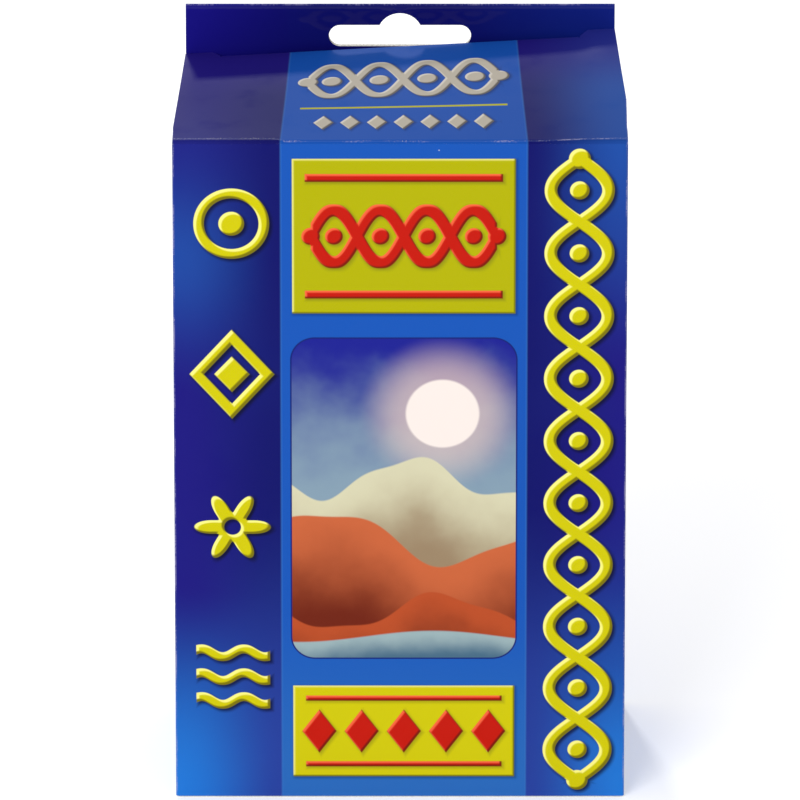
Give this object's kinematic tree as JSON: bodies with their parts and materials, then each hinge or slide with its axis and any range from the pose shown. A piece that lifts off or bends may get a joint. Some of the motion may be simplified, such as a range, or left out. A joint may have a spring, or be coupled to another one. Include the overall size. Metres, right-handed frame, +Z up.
{
  "type": "hanging retail carton",
  "caption": "Tall folding carton of glossy printed board with a hinged tuck-in lid, a tuck-in bottom and a hang tab with a peg slot.",
  "frame": {"origin": "middle of the carton's bottom, on the surface that it stands on", "axes": "+Z up, -Y towards the front with the printed face, +Y towards the back panel and its hang tab, +X to the right seen from the front"},
  "size_m": [0.117, 0.061, 0.199],
  "materials": {
    "printed_board": "gloss",
    "bare_board": "matte"
  },
  "bodies": {
    "carton": {"front_panel": "printed_board", "left_panel": "printed_board", "right_panel": "printed_board", "back_panel": "printed_board", "tab_facing": "printed_board", "glue_flap": "bare_board", "dust_flap_left": "bare_board", "dust_flap_right": "bare_board", "bottom_panel": "printed_board", "bottom_tuck_flap": "printed_board", "bottom_dust_flap_left": "bare_board", "bottom_dust_flap_right": "bare_board"},
    "lid": {"lid_panel": "printed_board", "tuck_flap": "printed_board"}
  },
  "joints": [
    {"name": "lid_hinge", "type": "hinge", "parent": "carton", "child": "lid", "pos_m": [0, -0.0305, 0.185], "axis": [1, 0, 0], "range_deg": [0, 180]}
  ]
}
